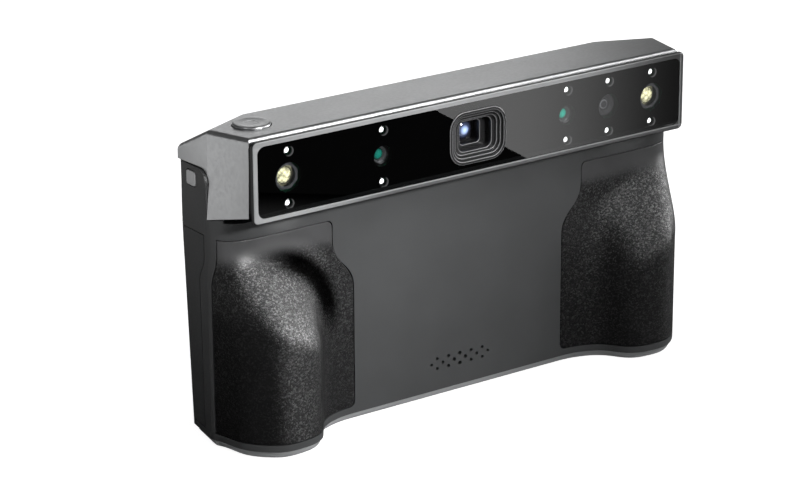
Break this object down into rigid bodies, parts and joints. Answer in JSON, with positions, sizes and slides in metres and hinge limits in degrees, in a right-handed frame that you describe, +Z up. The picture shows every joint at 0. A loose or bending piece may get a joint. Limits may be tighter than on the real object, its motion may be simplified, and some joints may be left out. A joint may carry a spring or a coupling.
{
  "type": "handheld three-d scanner",
  "caption": "Two-handed three-d scanner: a sensor head with a long dark window, a flat body with rubber-padded grips, a flip-up rear screen and push buttons.",
  "frame": {"origin": "centre of the bounding box at the underside of the base plate", "axes": "+X along the window to the right as seen from behind, -Y the way the window looks, +Z up"},
  "size_m": [0.1883, 0.0517, 0.1087],
  "materials": {
    "graphite_shell": "moulded, with satin graphite paint",
    "grey_cover": "moulded, with satin grey paint",
    "head_silver": "fine blasted",
    "bezel_silver": "satin with a bright edge",
    "base_silver": "satin",
    "pad_rubber": "pebbled",
    "gasket_rubber": "matt",
    "window_glass": "polished",
    "mask_black": "matt",
    "board_green": "solder mask",
    "lens_green": "coated",
    "lens_dark": "coated",
    "lamp_white": "clear dome",
    "lamp_yellow": "phosphor",
    "ring_grey": "matt",
    "camera_black": "matt",
    "hood_grey": "satin",
    "bench_metal": "machined",
    "screw_steel": "plated",
    "bush_steel": "turned",
    "button_silver": "satin with a bright chamfer",
    "switch_black": "matt",
    "battery_wrap": "shrink wrap",
    "sink_metal": "extruded",
    "speaker_black": "matt",
    "socket_steel": "drawn",
    "hinge_metal": "satin",
    "screen_plastic": "satin",
    "display_black": "gloss",
    "screen_glass": "polished"
  },
  "bodies": {
    "scanner": {"main_shell": "graphite_shell", "rear_cover": "grey_cover", "base_plate": "base_silver", "tripod_bush": "bush_steel", "case_screws": "screw_steel", "base_screws": "screw_steel", "head_housing": "head_silver", "window_bezel": "bezel_silver", "window_gasket": "gasket_rubber", "window_glass": "window_glass", "window_mask": "mask_black", "led_board": "board_green", "optical_bench": "bench_metal", "projector_hood": "hood_grey", "projector_lens": "lens_dark", "projector_engine": "camera_black", "colour_camera": "camera_black", "colour_lens": "lens_dark", "scan_switch": "switch_black", "scan_switch_board": "board_green", "power_switch": "switch_black", "power_switch_board": "board_green", "battery_pack": "battery_wrap", "main_board": "board_green", "heat_sink": "sink_metal", "speaker": "speaker_black", "usb_socket": "socket_steel", "hinge_screws": "screw_steel", "depth_camera_left": "camera_black", "depth_lens_left": "lens_green", "flash_ring_left": "ring_grey", "flash_lens_left": "lamp_yellow", "grip_pad_left": "pad_rubber", "hinge_bracket_left": "hinge_metal", "hinge_pin_left": "screw_steel", "depth_camera_right": "camera_black", "depth_lens_right": "lens_green", "flash_ring_right": "ring_grey", "flash_lens_right": "lamp_yellow", "grip_pad_right": "pad_rubber", "hinge_bracket_right": "hinge_metal", "hinge_pin_right": "screw_steel", "spot_led_upper_1": "lamp_white", "spot_led_lower_1": "lamp_white", "spot_led_upper_2": "lamp_white", "spot_led_lower_2": "lamp_white", "spot_led_upper_3": "lamp_white", "spot_led_lower_3": "lamp_white", "spot_led_upper_4": "lamp_white", "spot_led_lower_4": "lamp_white", "spot_led_upper_5": "lamp_white", "spot_led_lower_5": "lamp_white"},
    "screen": {"screen_case": "screen_plastic", "display_panel": "display_black", "screen_glass": "screen_glass", "screen_board": "board_green"},
    "scan_button": {"scan_button": "button_silver"},
    "power_button": {"power_button": "button_silver"}
  },
  "joints": [
    {"name": "screen_flip", "type": "hinge", "parent": "scanner", "child": "screen", "pos_m": [0, 0.02035, 0.0915], "axis": [1, 0, 0], "range_deg": [0, 180]},
    {"name": "scan_press", "type": "slide", "parent": "scanner", "child": "scan_button", "axis": [0, 0, -1], "range_m": [0, 0.0006], "stiffness_N_per_m": 3000, "springref_m": -0.0003},
    {"name": "power_press", "type": "slide", "parent": "scanner", "child": "power_button", "axis": [1, 0, 0], "range_m": [0, 0.0005], "stiffness_N_per_m": 3000, "springref_m": -0.0003}
  ]
}
